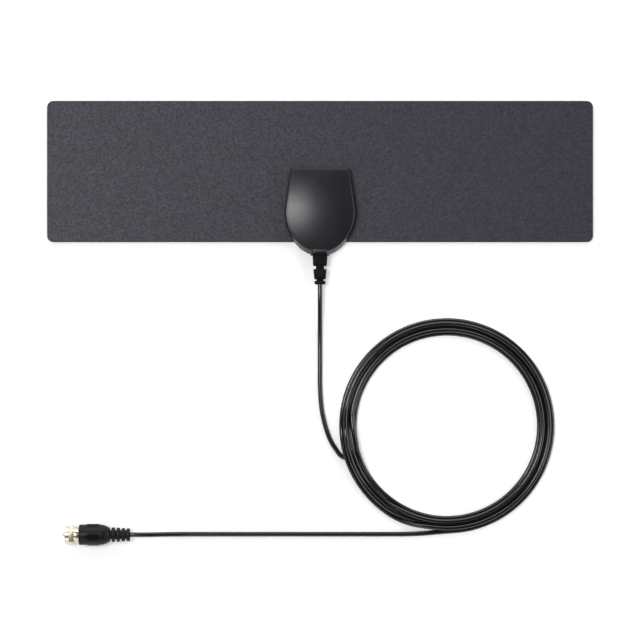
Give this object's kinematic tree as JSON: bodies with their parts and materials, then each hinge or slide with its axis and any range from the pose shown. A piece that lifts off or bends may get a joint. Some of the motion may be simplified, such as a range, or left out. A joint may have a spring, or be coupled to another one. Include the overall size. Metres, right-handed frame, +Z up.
{
  "type": "indoor tv antenna",
  "caption": "Flat indoor TV antenna: thin laminated panel with a domed junction housing on its lower edge and a coiled coaxial lead ending in a screw-on plug.",
  "frame": {"origin": "on the floor, under the middle of the panel and its housing", "axes": "+X along the panel to the right, +Y from the housing's tip to the panel's upper edge, +Z up, out of the panel's face"},
  "size_m": [0.34, 0.2767, 0.0138],
  "materials": {
    "panel_sheet": "fine leather grain",
    "foil": "plain foil",
    "cover_plastic": "satin moulded",
    "screw_steel": "zinc plated",
    "board": "solder mask",
    "brass": "plain",
    "ferrite": "sintered",
    "copper": "bare wire",
    "ceramic": "fired",
    "solder": "bright",
    "cord_jacket": "smooth satin PVC",
    "braid": "woven tinned wire",
    "white_plastic": "natural",
    "soft_black": "satin moulded PVC",
    "nickel": "bright nickel plate"
  },
  "bodies": {
    "antenna": {"front_sheet": "panel_sheet", "rear_sheet": "panel_sheet", "left_element": "foil", "right_element": "foil", "front_cover": "cover_plastic", "rear_cover": "cover_plastic", "cover_screws": "screw_steel", "circuit_board": "board", "feed_rivets": "brass", "balun_core": "ferrite", "balun_winding": "copper", "chip_capacitors": "ceramic", "solder_joints": "solder", "lead_end_jacket": "cord_jacket", "lead_end_braid": "braid", "lead_end_dielectric": "white_plastic", "lead_end_conductor": "copper", "strain_relief": "soft_black", "lead_cord": "cord_jacket", "cord_coil": "cord_jacket", "tail_cord": "cord_jacket", "plug_boot": "soft_black", "crimp_ferrule": "nickel", "plug_post": "nickel", "plug_insulator": "white_plastic", "plug_pin": "copper"},
    "nut": {"coupling_nut": "nickel"}
  },
  "joints": [
    {"name": "nut_turn", "type": "hinge", "parent": "antenna", "child": "nut", "pos_m": [-0.152, -0.2215, 0.0069], "axis": [-1, 0, 0], "continuous": true}
  ]
}
